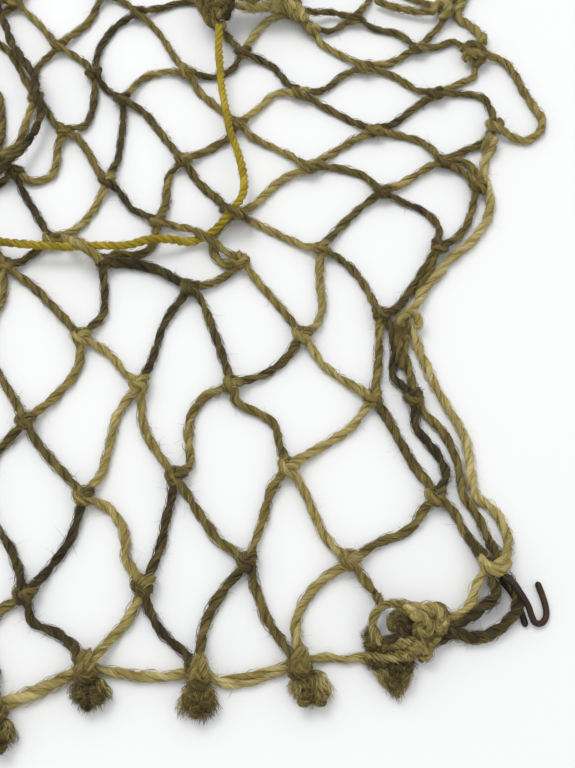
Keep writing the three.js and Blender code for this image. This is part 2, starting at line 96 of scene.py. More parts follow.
# A knot's name is the letter of its line of knots, from the foot rope up, and its place there.
KNOT_PLACES = layout("""
    Bx -160,-155 B0 -117,-147 B1 -82,-131 B2 -36,-133 B3 5,-129 Cy -203,-106 Cx -154,-105
    C0 -111,-101 C1 -61,-97 C2 -17,-86 C3 27,-86 Dx -178,-62 D0 -138,-60 D1 -90,-56 D2 -50,-47
    D3 0,-42 D4 66,-56 Ex -160,-22 E0 -120,-19 E1 -69,0 E2 -26,0 E3 40,-7 E4 59,-7 Fx -190,20
    F0 -148,22 F1 -99,26 F2 -48,54 F3 7,27 F4 45,38 Gx -186,62 G0 -141,67 G1 -92,69 G2 -23,70
    G3 17,77 G4 76,78 Hx -165,96 H0 -119,83 H1 -66,94 H2 -28,99 H3 49,113 H4 99,116 Ix -188,130
    I0 -143,126 I1 -94,120 I2 -55,134 I3 11,129 I4 82,133 Jx -154,134 J0 -120,154 J1 -90,176
    J2 -26,159 J3 46,154 J4 112,157 Kx -172,196 K0 -137,176 K1 -107,195 K2 -56,196 K3 7,181
    K4 81,180 Lx -176,226 L0 -129,216 L1 -86,242 L2 -25,211 L3 43,200 L4 104,211 M0 -157,250
    M1 -107,258 M2 -46,250 M3 14,229 M4 73,214 N0 -132,288 N1 -85,286 N2 -12,264 N3 39,238
    N4 92,244 O1 -108,310 O2 -48,304 O3 6,284 O4 54,268""")
KNOTS = dict(zip(KNOT_PLACES[::2], KNOT_PLACES[1::2]))

# Each row: the letter of the knots that it ties below it, and its stops, from left to right.
ROWS = [
    ("B", layout("""-228,-140 Cy -186,-126 Bx -152,-130 Cx -144,-124 B0 -120,-133 -126,-121
      -121,-108 C0 -107,-113 -96,-118 -88,-124 B1 -74,-121 -67,-112 C1 -58,-109 -51,-119 -42,-126
      B2 -35,-116 -30,-104 C2 -10,-109 -3,-120 B3 4,-112 12,-98 C3 33,-95 36.5,-99,7""")),
    ("C", layout("""-233.2,-84 Cy -190,-82 Dx -164,-84 Cx -146,-80 D0 -123,-77 -117,-87 C0 -103,-91
      -95,-77 D1 -78,-63 -71,-74 -70,-85 C1 -56,-83 -54,-72 D2 -40,-63 -30,-77 C2 -12,-72 -7,-53 D3
      5,-49 18,-78 C3 38,-79 55,-71 60,-63 D4 72,-62 77,-72 82,-80.5,5""")),
    ("D", layout("""-234.6,-42 Dx -170,-44 Ex -150,-42 D0 -134,-38 E0 -115,-29 -98,-48 D1 -84,-47
      -78,-15 E1 -66,-22 -62,-30 D2 -44,-42 -45,-19 -39,-7 E2 -24,-9 -7,-20 -4,-30 D3 10,-36 30,-22
      E3 45,-15 56,-39 D4 71,-47 68,-36 59,-22 E4 63,-15 72,-26 77,-42 78,-56 84,-66 87,-77,5""")),
    ("E", layout("""-234.2,2 Fx -172,-2 Ex -152,-2 F0 -133,0 E0 -107,-5 -99,10 F1 -84,15 -77,6 E1
      -65,10 -59,35 F2 -43,48 -34,24 E2 -11,5 0,15 F3 11,20 17,10 25,3 E3 43,8 44,22 F4 50,31 51,16
      50,4 E4 58,6 56,17 55.5,27,5""")),
    ("F", layout("""-234.8,44 Fx -184,40 Gx -166,44 F0 -140,47 G0 -123,52 -103,30 F1 -90,37 -90,50
      G1 -79,67.5 -61,63 F2 -40,55 -29,62 G2 -9,50 1,36 F3 14,32 17,43 16,56 G3 25,72 35,61 42,46
      F4 53,41 61,53 68,65 G4 72,67 66.5,55 63,48.5,2.3""")),
    ("G", layout("""-232.8,82 Gx -178,80 Hx -151,84 G0 -133,69 H0 -106,82 -98,76 G1 -86,74 -74,74
      -68,80 H1 -57,91,3.4 -50,88.6,7.6 -44,85.6,10 -39.5,82.2,10.8 -35.5,79,9 -32,75.5,5.2 G2
      -31,67.5 -36,73,2.1 -38,82,2.1 -34.5,89,3.8 H2 -11,90 8,79 G3 22,84 30,94 40,105 H3 59,107
      70,101 77,91 G4 84,82 92,93 H4""")),
    ("H", layout("""-229.4,112 Ix -178,110 Hx -155,114 I0 -138,114 -123,89 H0 -108,89 -98,106 I1
      -88,114 -80,102 H1 -63,104 -62,124 I2 -48,122 -36,108 H2 -19,103 -3,121 I3 23,129.5 40,124 H3
      58,117 74,129 I4 94,133 100,124""")),
    ("I", layout("""-224.2,146 Ix -170,138 Jx I0 -134,120 -124,124 -122,144 J0 -112,149 -99,127 I1
      -90,134 -89,160 J1 -78,167 -62,144 I2 -46,139 -33,148 J2 -20,151 0,138 I3 20,136 33,146 J3
      60,151 73,146 I4 92,139 105,147 J4""")),
    ("J", layout("""-216.4,180 Kx -159,180 -154,156 Jx -144,146 -141,164 K0 -132,171 -126,160 J0
      -110,157 -106,172 K1 -99,183 J1 -79,193 -66,197 K2 -48,182 -34,167 J2 -15,171 -6,181 K3
      22,170 37,160 J3 57,159 71,172 K4 92,181 107,178 111,168 J4""")),
    ("K", layout("""-211.2,206 Kx -178,210 Lx -158,214 -147,194 K0 -140,200 L0 -114,204 K1 -106,215
      -97,234 L1 -76,231 -62,206 K2 -41,193 -30,200 L2 -8,201 0,188 K3 19,183 32,195 L3 59,194
      72,183 K4 94,187.5 104,194 L4""")),
    ("L", layout("""-205.4,238 Lx -166,240 M0 -146,238 L0 -115,234 M1 -93,250 L1 -75,246 -60,252 M2
      -41,236 -31,219 L2 -18,227 -11,237 -2,242 6,238 M3 19,219 32,208 L3 58,204 M4 84,215.5 94,220
      L4""")),
    ("M", layout("""-201.2,262 M0 -148,270 N0 -122,276 M1 -98,272 N1 -66,270 M2 -32,262 N2 -8,251,4
      1,246,2.2 10,239,2.1 M3 24,228 32,233 N3 50,230 63,226 M4 81,224 90,237 N4""")),
    ("N", layout("""-176,304,5 N0 -122,300 O1 -98,300 N1 -68,294 O2 -32,280 N2 -4,276 O3 5,262,6.9
      6,246,6.9 14,241,6.9 25,242,4.6 N3 47,252 O4 70,256 N4 95,254,2.1""")),
]

HEAD_ROPE = layout("""-198,301.6,4 -189,304 -170,309 -140,311 -108,310 -80,309 -48,304 -20,292
    6,284 30,274 54,268 76,268 98,271 106,273.4,4""")

LEFT_SIDE_LINE = layout("""-236.4,-149,4 -237,-138 -239,-110 -236,-75 -238,-35 -237,5 -238,45
    -236,85 -231,120 -225,155 -219,185 -213,215 -207,245 -202,270 -198,290 -198,300,4""")

UPPER_SIDE_LINE = layout("""107,272,4.6 106,263,2.4 102,252,2.4 98,240,2.4 106,231,2.4 111,223,2.6
    110.5,218,4""")

SIDE_LOOP = layout("""111.6,208.6,4.6 119.5,206,2.8 126,197,2.2 130,183,2.2 135,171,2.2 138,162,2.2
    135,153,2.2 128,147.5,2.2 122,148.5,2.8 116.6,151.6,4.8""")

FOLDED_BIGHT = layout("""-170,256,9 -160,232,9.5 -153,214,9.5 -146,203,9.5 -138,190,10
    -135,177,12.2 -132,165,9.5 -134,152,9 -138,141,9.5 -143,132,12.2 -152,122,9 -166,116,6
    -184,112,9.8""")

HOOK_WIRE = layout("""100,-115,1.4 98.9,-109.5,1.4 96.8,-103,1.4 94,-98,1.4 91.9,-95.9,2.4
    91.1,-95.2,5.3 91.9,-95.9,8.4 94.6,-98.6,9.4 97.8,-103.5,9.4 100.4,-108,8 102,-111.3,5.2
    103.8,-113.5,2.6 106.4,-113.6,1.5 108.6,-111.4,1.4 109.3,-108,1.4 108.7,-103,1.4
    107.6,-98.5,1.4 106.8,-95.5,1.4""")

DRAW_CORD = layout("""-38,219.5,15 -38,214,12.4 -38,206,10.8 -37,194,10.6 -36,181,9.6 -34,168,10.6
    -32,157,10.4 -30,146,10.2 -26,134,9.4 -23,121,9.2 -22,109,11.2 -24,100,12.6 -29,92,12.2
    -35,86,8.6 -39,83.6,6.4 -43.5,82,4.6 -50,79.8,4.2 -58,78.4,8.4 -68,77,10.4 -80,74,9.8
    -93,72,12.2 -106,72.5,10.6 -119,73,10.6 -132,74,11 -145,76,10.8 -157,79,9.6 -170,84,10.4
    -183,87,9.6 -196,88,9 -209,87.5,8.4 -219,87,7""")

DARK_BARS = "C0D0 B1C0 B2C1 C1D2 F2G1 E1F2 K1L1 H1I1 I1J1 J1K1 H0I0 D4E4 E4F4 C0D1".split()
PALE_BARS = ("C1D1 B1C1 B3C3 C3D3 D3E3 E3F3 D1E1 E1F1 F3G3 G3H2 G1H0 H0I1 H2I3 J2K3 L2M3 "
             "M3N2").split()

# ---------- lines through points ----------

SAME_POINT = 0.05  # points that are nearer than this in millimetres count as one
DENSE = 14  # sections between two points, before they are spaced evenly


def smooth(points, step=STEP):
    """A centripetal curve through rows of x, y, z, scale and tone, with even steps."""
    p = np.array(points, float)
    keep = [0]
    for i in range(1, len(p)):
        if np.linalg.norm(p[i, :3] - p[keep[-1], :3]) > SAME_POINT:
            keep.append(i)
    p = p[keep]
    p = np.vstack([2 * p[0] - p[1], p, 2 * p[-1] - p[-2]])
    t = np.concatenate([[0], np.cumsum(np.linalg.norm(np.diff(p[:, :3], axis=0), axis=1) ** 0.5)])
    out = []
    for i in range(1, len(p) - 2):
        t0, t1, t2, t3 = t[i - 1], t[i], t[i + 1], t[i + 2]
        u = np.linspace(t1, t2, DENSE, endpoint=False)[:, None]
        a1 = (t1 - u) / (t1 - t0) * p[i - 1] + (u - t0) / (t1 - t0) * p[i]
        a2 = (t2 - u) / (t2 - t1) * p[i] + (u - t1) / (t2 - t1) * p[i + 1]
        a3 = (t3 - u) / (t3 - t2) * p[i + 1] + (u - t2) / (t3 - t2) * p[i + 2]
        b1 = (t2 - u) / (t2 - t0) * a1 + (u - t0) / (t2 - t0) * a2
        b2 = (t3 - u) / (t3 - t1) * a2 + (u - t1) / (t3 - t1) * a3
        out.append((t2 - u) / (t2 - t1) * b1 + (u - t1) / (t2 - t1) * b2)
    dense = np.vstack(out + [p[-2:-1]])
    along = np.concatenate([[0], np.cumsum(np.linalg.norm(np.diff(dense[:, :3], axis=0), axis=1))])
    count = max(4, int(round(along[-1] / step)) + 1)
    even = np.linspace(0, along[-1], count)
    return np.column_stack([np.interp(even, along, dense[:, c]) for c in range(5)])


def unit(v):
    return v / np.maximum(np.linalg.norm(v, axis=-1, keepdims=True), 1e-9)


def frames(line):
    """Tangents of a line, and two directions across it that don't twist."""
    tangent = unit(np.gradient(line, axis=0))
    side = np.zeros_like(tangent)
    start = np.cross(tangent[0], [0, 0, 1])
    side[0] = unit(start if np.linalg.norm(start) > 0.1 else np.array([1.0, 0, 0]))
    for i in range(1, len(line)):
        v = side[i - 1] - tangent[i] * np.dot(side[i - 1], tangent[i])
        side[i] = v / max(np.linalg.norm(v), 1e-9)
    return tangent, side, np.cross(tangent, side)


def drift(count, length, rng, step=STEP):
    """Slow random change along a line, about -1 to 1, with bumps of that length."""
    stops = max(3, int(count * step / length) + 2)
    value = rng.uniform(-1, 1, stops)
    at = np.linspace(0, 1, count) * (stops - 1)
    i = np.minimum(at.astype(int), stops - 2)
    share = at - i
    share = share * share * (3 - 2 * share)
    return value[i] * (1 - share) + value[i + 1] * share


# ---------- one piece's mesh, gathered from strands and fibres ----------

LOCKS, CURLS = 9, 7  # locks side by side in a frayed end, and curls on top of it


class Shape:
    """The strands and fibres of one piece, in layout millimetres, and its random numbers."""

    def __init__(self, seed):
        self.rng = np.random.default_rng(seed)
        self.verts, self.tris, self.tones, self.fibre = [], [], [], []
        self.count = 0

    def tube(self, rings, tones, fibre):
        """Rings of points, n x m x 3, as one closed body."""
        n, m = rings.shape[:2]
        index = self.count + np.arange(n * m).reshape(n, m)
        a, b = index[:-1], index[1:]
        quads = np.stack([a, np.roll(a, -1, 1), np.roll(b, -1, 1), b], -1).reshape(-1, 4)
        first, last = self.count + n * m, self.count + n * m + 1
        caps = [
            np.stack([np.full(m, first), np.roll(index[0], -1), index[0]], -1),
            np.stack([np.full(m, last), index[-1], np.roll(index[-1], -1)], -1),
        ]
        self.tris += [quads[:, [0, 1, 2]], quads[:, [0, 2, 3]]] + caps
        self.verts += [rings.reshape(-1, 3), rings[[0, -1]].mean(axis=1)]
        self.tones += [tones.reshape(-1), tones[[0, -1], 0]]
        self.fibre += [fibre.reshape(-1, 3), fibre[[0, -1], 0]]
        self.count += n * m + 2

    def strand(self, points, radius=TWINE, plies=2, turn=TURN, fuzz=1.0, sides=12, rough=1.0,
               lobes=0.33, ends=0.6, wander=0.22, reach=(1.5, 6.5), lean=LEAN):
        """A laid strand through points. Its lean is 0 where the points are true places."""
        rng = self.rng
        points = np.array(points, float)
        points[:, 1] -= lean * (points[:, 2] - LIE)
        line = smooth(points)
        n = len(line)
        centre, scale, tone = line[:, :3].copy(), line[:, 3], line[:, 4]
        tangent, side, up = frames(centre)
        centre += side * (wander * drift(n, WANDER_EVERY, rng))[:, None]
        s = np.arange(n) * STEP
        wide = scale * (1 + SWELL * drift(n, SWELL_EVERY, rng) * rough
                        + PINCH * drift(n, PINCH_EVERY, rng) * rough)
        fade = np.clip(np.minimum(s, s[::-1]) / (radius * 0.8), 0, 1)
        wide = wide * (ends + (1 - ends) * fade ** 0.5)
        phase = 2 * math.pi * (s / turn + rng.uniform()) + 0.5 * drift(n, TWIST_EVERY, rng)
        offset = lobes * radius if plies > 1 else 0.0
        thick = PLY_RADIUS[plies] * radius
        theta = np.arange(sides) * 2 * math.pi / sides
        for k in range(plies):
            turned = phase + 2 * math.pi * k / plies
            across = side * np.cos(turned)[:, None] + up * np.sin(turned)[:, None]
            middle = centre + across * (offset * wide)[:, None]
            own = theta[None, :] - FIBRE_LAY * s[:, None]
            grain = rng.normal(0, 0.5, (n, sides))
            for ridges in RIDGES:
                grain = grain + np.cos(ridges * own + rng.uniform(0, 6.3)
                                       + 2.5 * drift(n, GRAIN_EVERY, rng)[:, None])
            slub = 1 + SLUB * rough * drift(n, SLUB_EVERY, rng)
            size = (thick * wide * slub)[:, None] * (1 + GRAIN * rough * grain)
            angle = theta[None, :] + turned[:, None] * (1.0 if plies > 1 else 0.0)
            rings = (middle[:, None, :] + size[..., None] * (
                side[:, None, :] * np.cos(angle)[..., None]
                + up[:, None, :] * np.sin(angle)[..., None]))
            tones = (tone + 0.10 * drift(n, TONE_EVERY, rng) + rng.uniform(-0.04, 0.04))[:, None]
            # Painted shade: the side of each ply that faces the other ply gets a darker tone, as
            # though shaded in the gap between them.
            painted_gap_shade = np.maximum(0.25 - np.cos(theta), 0) * (PLY_GAP_PAINTED_SHADE if plies > 1 else 0.0)
            tones = tones - painted_gap_shade[None, :] + GRAIN_TONE * rough * grain
            where = rng.uniform(0, 50)
            fibre = np.stack([np.broadcast_to(s[:, None] + where, (n, sides)),
                              np.cos(own), np.sin(own)], -1)
            self.tube(rings, tones, fibre)
        if fuzz > 0:
            self.hug(centre, side, up, radius * wide, tone, HUG_PER_MM * fuzz, phase)
            self.stray(centre, tangent, side, up, radius * wide, tone, STRAY_PER_MM * fuzz, reach)
        return centre

    def hairs(self, middle, thick, tone):
        """Closed three-sided hairs: middle is f x k x 3, thick is f x k, tone is f."""
        f, k = middle.shape[:2]
        tangent = unit(np.gradient(middle, axis=1))
        a = unit(np.cross(tangent, [0.31, 0.17, 0.93]))
        b = np.cross(tangent, a)
        angle = np.arange(3) * 2 * math.pi / 3
        rings = (middle[:, :, None, :] + thick[:, :, None, None] * (
            a[:, :, None, :] * np.cos(angle)[:, None] + b[:, :, None, :] * np.sin(angle)[:, None]))
        index = self.count + np.arange(f * k * 3).reshape(f, k, 3)
        lo, hi = index[:, :-1], index[:, 1:]
        quads = np.stack([lo, np.roll(lo, -1, 2), np.roll(hi, -1, 2), hi], -1).reshape(-1, 4)
        self.tris += [quads[:, [0, 1, 2]], quads[:, [0, 2, 3]],
                      index[:, 0, ::-1].reshape(-1, 3), index[:, -1].reshape(-1, 3)]
        self.verts.append(rings.reshape(-1, 3))
        self.tones.append(np.repeat(tone, k * 3))
        along = np.broadcast_to(np.arange(k)[None, :, None] * 0.5, (f, k, 3))
        place = np.stack([along, np.ones((f, k, 3)), np.zeros((f, k, 3))], -1)
        self.fibre.append(place.reshape(-1, 3))
        self.count += f * k * 3

    def hug(self, centre, side, up, radius, tone, per_mm, phase):
        """Fibres that lie along the twine and lift off it a little."""
        rng = self.rng
        n = len(centre)
        count = int((n - 1) * STEP * per_mm)
        if count < 1 or n < 8:
            return
        taper = np.array([0.5, 1, 1, 1, 0.8, 0.3])
        length = rng.uniform(3.5, 9.0, count)
        start = rng.uniform(0, 1, count) * np.maximum((n - 1) * STEP - length, 0.1)
        t = np.linspace(0, 1, len(taper))
        at = (start[:, None] + length[:, None] * t) / STEP
        i = np.clip(at.astype(int), 0, n - 1)
        angle = rng.uniform(0, 2 * math.pi, count)[:, None] + (phase[i] - phase[i[:, :1]]) * 0.8
        lift = rng.uniform(0.0, 0.55, count)[:, None] * np.sin(math.pi * t * 0.8)
        reach = radius[i] * (0.98 + lift)
        middle = centre[i] + reach[..., None] * (
            side[i] * np.cos(angle)[..., None] + up[i] * np.sin(angle)[..., None])
        thick = rng.uniform(0.07, 0.13, count)[:, None] * taper
        self.hairs(middle, thick, tone[i[:, 0]] + rng.uniform(-0.1, 0.3, count))

    def stray(self, centre, tangent, side, up, radius, tone, per_mm, reach):
        """Fibres that stand off the twine and curl."""
        rng = self.rng
        n = len(centre)
        count = int((n - 1) * STEP * per_mm)
        if count < 1:
            return
        k = 7
        i = rng.integers(0, n, count)
        angle = rng.uniform(0, 2 * math.pi, count)
        out = side[i] * np.cos(angle)[:, None] + up[i] * np.sin(angle)[:, None]
        way = unit(out * rng.uniform(0.3, 1.0, count)[:, None]
                   + tangent[i] * rng.normal(0, 0.8, count)[:, None])
        curl = unit(rng.normal(0, 1, (count, 3)))
        length = rng.uniform(reach[0], reach[1], count) * rng.uniform(0.5, 1.0, count)
        t = np.linspace(0, 1, k)[None, :, None]
        begin = centre[i] + out * (radius[i] * 0.8)[:, None]
        far = length[:, None, None]
        middle = begin[:, None] + far * (
            t * way[:, None] + 0.5 * t ** 2 * curl[:, None] + t ** 2 * np.array([0, 0, -0.25]))
        thick = rng.uniform(0.045, 0.085, count)[:, None] * np.linspace(1, 0.35, k)
        self.hairs(middle, thick, tone[i] + rng.uniform(-0.1, 0.35, count))

    def tuft(self, neck, tip, width, height, count, tone):
        """A brush of fibres from a narrow neck to a wide, ragged tip."""
        rng = self.rng
        neck, tip = np.array(neck, float), np.array(tip, float)
        way = tip - neck
        full = np.linalg.norm(way)
        way = way / full
        across = unit(np.cross(way, [0, 0, 1]))
        k = 8
        t = np.linspace(0, 1, k)
        ring = rng.uniform(0, 2 * math.pi, count)
        out = np.sqrt(rng.uniform(0, 1, count))
        x, z = out * np.cos(ring), out * np.sin(ring)
        length = full * rng.uniform(0.55, 1.05, count) * (1.02 - 0.22 * out)
        spread = 0.3 + 0.7 * np.sin(np.minimum(t * 1.25, 1.0) * math.pi / 2)
        wave = np.sin(t[None] * rng.uniform(3, 7, (count, 1)) + rng.uniform(0, 6, (count, 1)))
        middle = (neck + way * (t[None, :, None] * length[:, None, None])
                  + across * ((x * width / 2)[:, None] * spread + wave * t * 1.5)[..., None])
        rise = neck[2] + (tip[2] - neck[2]) * t
        middle[..., 2] = rise + (z * height / 2)[:, None] * spread + wave[:, ::-1] * t * 0.9
        thick = rng.uniform(0.09, 0.20, count)[:, None] * np.linspace(1, 0.4, k)
        # Painted shade: fibres nearer the middle of the tuft get a darker tone, as though shaded
        # by the fibres round them.
        tones = tone + rng.uniform(-0.28, 0.34, count) - 0.12 * (1 - out)
        self.hairs(middle, thick, tones)

    def brush(self, x, y, width, length, tone):
        """A frayed end along -Y: ragged locks side by side, with dark curls on top."""
        rng = self.rng
        for place in np.linspace(-1, 1, LOCKS):
            far = length * (1 - 0.20 * place ** 2) * rng.uniform(0.82, 1.06)
            side = 0.5 * width * place
            rim = abs(place) ** 2
            self.tuft((x + 0.45 * side, y - 0.4, 4.8), (x + side * 0.86, y - far, 4.0),
                      width * 0.30, 7.4, 110, tone + 0.10 + 0.16 * rim + rng.uniform(-0.12, 0.12))
        for _ in range(CURLS):
            self.curl(x + rng.uniform(-0.24, 0.24) * width, y - rng.uniform(0.2, 0.6) * length,
                      6.4, tone - rng.uniform(0.02, 0.26), 1.1)

    def curl(self, x, y, z, tone, radius, size=1.9):
        """A loose curl of frayed twine."""
        turn = self.rng.uniform(0, 6.28)
        points = [(x + size * math.cos(turn + a), y + size * math.sin(turn + a),
                   z + 1.1 * math.sin(a * 1.3)) for a in (0, 1.1, 2.2, 3.3, 4.2)]
        self.strand(path(points, tone), radius=radius, fuzz=3.2, turn=9, ends=0.4,
                    reach=(1.0, 3.2))

    def wind(self, turns, **style):
        """Strands of one style, each given as its radius, its tone and its points."""
        for radius, tone, points in turns:
            self.strand(path(points, tone), radius=radius, **style)

    def build(self, name, material, body, node):
        """Make the piece, let it ride its body and stand for its CAD node."""
        verts = np.vstack(self.verts)
        verts[:, 2] = np.maximum(verts[:, 2], LOWEST)
        verts = (verts + SHIFT) * MM
        tris = np.vstack(self.tris).astype(np.int32)
        mesh = bpy.data.meshes.new(name)
        mesh.vertices.add(len(verts))
        mesh.vertices.foreach_set("co", verts.astype(np.float32).ravel())
        mesh.loops.add(tris.size)
        mesh.loops.foreach_set("vertex_index", tris.ravel())
        mesh.polygons.add(len(tris))
        mesh.polygons.foreach_set("loop_start", np.arange(0, tris.size, 3, dtype=np.int32))
        mesh.polygons.foreach_set("use_smooth", np.ones(len(tris), bool))
        tone = mesh.attributes.new("tone", "FLOAT", "POINT")
        tone.data.foreach_set("value", np.concatenate(self.tones).astype(np.float32))
        fibre = mesh.attributes.new("fibre", "FLOAT_VECTOR", "POINT")
        fibre.data.foreach_set("vector", np.vstack(self.fibre).astype(np.float32).ravel())
        mesh.update(calc_edges=True)
        mesh.validate()
        mesh.materials.append(material)
        piece = bpy.data.objects.new(name, mesh)
        bpy.context.scene.collection.objects.link(piece)
        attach(piece, body)
        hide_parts(node)
        return piece


def path(points, tone, scale=1.0):
    """Rows of x, y, z, scale and tone, from points that may leave out their z and scale."""
    rows = []
    for p in points:
        p = list(p) + [LIE] * (3 - len(p))
        rows.append(p[:3] + [p[3] if len(p) > 3 else scale, tone])
    return rows


# ---------- materials ----------

PATCH = 0.5  # how much the tone changes from patch to patch


def streaked(name, stops, streak=0.75, bump=0.8, rough=0.9, sheen=0.04, stretch=0.17,
             around=2.4):
    """A material coloured by a piece's tones, by streaks along its fibres and by patches."""
    material = bpy.data.materials.new(name)
    material.use_nodes = True
    nodes, links = material.node_tree.nodes, material.node_tree.links
    shader = nodes["Principled BSDF"]
    shader.inputs["Roughness"].default_value = rough
    shader.inputs["Sheen Weight"].default_value = sheen
    shader.inputs["Sheen Roughness"].default_value = 0.6
    shader.inputs["Specular IOR Level"].default_value = 0.25
    fibre = nodes.new("ShaderNodeAttribute")
    fibre.attribute_name = "fibre"
    tone = nodes.new("ShaderNodeAttribute")
    tone.attribute_name = "tone"
    place = nodes.new("ShaderNodeTexCoord")

    long_way = nodes.new("ShaderNodeMapping")
    long_way.inputs["Scale"].default_value = (stretch, around, around)
    links.new(fibre.outputs["Vector"], long_way.inputs["Vector"])
    streaks = nodes.new("ShaderNodeTexNoise")
    streaks.inputs["Scale"].default_value = 1.6
    streaks.inputs["Detail"].default_value = 5.0
    streaks.inputs["Roughness"].default_value = 0.65
    links.new(long_way.outputs["Vector"], streaks.inputs["Vector"])
    patches = nodes.new("ShaderNodeTexNoise")
    patches.inputs["Scale"].default_value = 75.0
    patches.inputs["Detail"].default_value = 3.0
    links.new(place.outputs["Object"], patches.inputs["Vector"])

    def spread(source, amount):
        node = nodes.new("ShaderNodeMath")
        node.operation = "MULTIPLY_ADD"
        links.new(source, node.inputs[0])
        node.inputs[1].default_value = amount
        node.inputs[2].default_value = -amount / 2
        return node.outputs[0]

    total = tone.outputs["Fac"]
    for part in (spread(streaks.outputs["Fac"], streak), spread(patches.outputs["Fac"], PATCH)):
        add = nodes.new("ShaderNodeMath")
        add.operation = "ADD"
        links.new(total, add.inputs[0])
        links.new(part, add.inputs[1])
        total = add.outputs[0]
    ramp = nodes.new("ShaderNodeValToRGB")
    while len(ramp.color_ramp.elements) < len(stops):
        ramp.color_ramp.elements.new(0.5)
    for element, (at, colour) in zip(ramp.color_ramp.elements, stops):
        element.position = at
        element.color = (*colour, 1.0)
    links.new(total, ramp.inputs["Fac"])
    links.new(ramp.outputs["Color"], shader.inputs["Base Color"])
    relief = nodes.new("ShaderNodeBump")
    relief.inputs["Strength"].default_value = bump
    relief.inputs["Distance"].default_value = 0.0006
    links.new(streaks.outputs["Fac"], relief.inputs["Height"])
    links.new(relief.outputs["Normal"], shader.inputs["Normal"])
    return material


JUTE_STOPS = [(0.0, (0.017, 0.010, 0.003)), (0.25, (0.062, 0.042, 0.013)),
              (0.5, (0.166, 0.122, 0.029)), (0.75, (0.340, 0.264, 0.080)),
              (1.0, (0.570, 0.475, 0.225))]
MUSTARD_STOPS = [(0.0, (0.085, 0.050, 0.003)), (0.4, (0.240, 0.168, 0.009)),
                 (0.7, (0.420, 0.312, 0.020)), (1.0, (0.620, 0.500, 0.090))]
RUST_STOPS = [(0.0, (0.010, 0.008, 0.007)), (0.45, (0.030, 0.021, 0.015)),
              (0.75, (0.085, 0.042, 0.018)), (1.0, (0.200, 0.090, 0.030))]

jute_material = streaked("jute_twine", JUTE_STOPS)
cord_material = streaked("mustard_cord", MUSTARD_STOPS, streak=0.7)
rust_material = streaked("rusty_iron", RUST_STOPS, streak=0.9, bump=0.25, rough=0.5,
                         sheen=0.0, stretch=0.8, around=1.2)
rust_material.node_tree.nodes["Principled BSDF"].inputs["Metallic"].default_value = 0.55

# ---------- the net's rows ----------


def flat(stop):
    """The place of a stop, as seen from above."""
    return np.array((KNOTS[stop] if isinstance(stop, str) else stop)[:2], float)


def neighbours(knot):
    """The stops on both sides of a knot, in the row that ties it below the others."""
    for lower, stops in ROWS:
        if lower == knot[0] and knot in stops:
            i = stops.index(knot)
            if 0 < i < len(stops) - 1:
                return flat(stops[i - 1]), flat(stops[i + 1])
    return None


def knot_axes(knot):
    """Up the bight of a knot, and across it, as seen from above."""
    middle = flat(knot)
    pair = neighbours(knot)
    if pair is None:
        return np.array([0.0, 1.0]), np.array([1.0, 0.0])
    before, after = unit(pair[0] - middle), unit(pair[1] - middle)
    opening = before + after
    if np.linalg.norm(opening) < 0.35:
        opening = np.array([-(after - before)[1], (after - before)[0]])
        if opening[1] < 0:
            opening = -opening
    opening = unit(opening)
    return opening, np.array([opening[1], -opening[0]])


# Across, up, height and scale of the turns of a knot, in millimetres from its middle: the bight
# that a row ties below it, and the turn that the next row takes round that bight.
BIGHT = [(2.6, 4.8, 4.0, 1.0), (1.8, 1.6, 4.6, 1.0), (1.4, -2.2, 5.0, 1.0),
         (-1.4, -2.2, 5.0, 1.0), (-1.8, 1.6, 4.6, 1.0), (-2.6, 4.8, 4.0, 1.0)]
WRAP = [(-2.4, -4.6, 3.6, 1.0), (-0.9, -1.8, 5.4, 1.0), (1.0, 1.0, 6.8, 1.0),
        (3.1, 1.9, 5.2, 1.0), (2.2, 2.6, 2.6, 0.95), (-2.2, 2.4, 2.5, 0.95),
        (-3.2, 1.0, 5.0, 1.0), (-1.6, -0.6, 7.0, 1.05), (1.0, -2.0, 6.2, 1.05),
        (2.5, -4.6, 3.8, 1.0)]

OLIVE_RANGE = 0.13  # how far the tone of a plain bar may be from OLIVE


def bar_tone(a, b):
    """The tone of the bar between two knots."""
    key = "".join(sorted((a, b)))
    if key in DARK_BARS:
        return DARK
    if key in PALE_BARS:
        return PALE
    return OLIVE + OLIVE_RANGE * math.sin(7.3 * sum(map(ord, key)))


def row_points(lower, stops):
    """The whole line of one row, through its bights and round its knots."""
    middles = [flat(stop) for stop in stops]
    marks = [i for i, stop in enumerate(stops) if isinstance(stop, str)]
    tones = np.zeros(len(stops))
    for i in range(len(stops)):
        left = max([m for m in marks if m <= i], default=marks[0])
        right = min([m for m in marks if m > i], default=marks[-1])
        tones[i] = bar_tone(stops[left], stops[right]) if left != right else OLIVE
    rows = []
    for i, stop in enumerate(stops):
        tone = tones[i]
        if not isinstance(stop, str):
            near = min(np.linalg.norm(middles[i] - middles[m]) for m in marks)
            z = LIE + KNOT_LIFT * math.exp(-(near / LIFT_REACH) ** 2)
            xy = middles[i]
            if i == 0:
                xy = xy + unit(middles[0] - middles[1]) * REACH_LINE
            rows.append([*xy, stop[2] if len(stop) > 2 else z, 1.0, tone])
            continue
        up, across = knot_axes(stop)
        before = tones[i - 1] if i > 0 else tone
        from_side = middles[i - 1] if i > 0 else middles[i] - across
        is_lower = stop[0] == lower
        turns = BIGHT if is_lower else WRAP
        flip = -1.0 if np.dot(from_side - middles[i], across) * turns[0][0] < 0 else 1.0
        lift = FOOT_LIFT if is_lower and lower == "B" else 0.0
        for j, (a, e, z, scale) in enumerate(turns):
            share = j / (len(turns) - 1)
            xy = middles[i] + across * a * flip + up * e
            if j == 0 and i > 0:
                xy = middles[i] + unit(middles[i - 1] - middles[i]) * LEG
            if share == 1 and i < len(stops) - 1:
                xy = middles[i] + unit(middles[i + 1] - middles[i]) * LEG
            rows.append([*xy, z + lift, scale, before * (1 - share) + tone * share])
    return rows


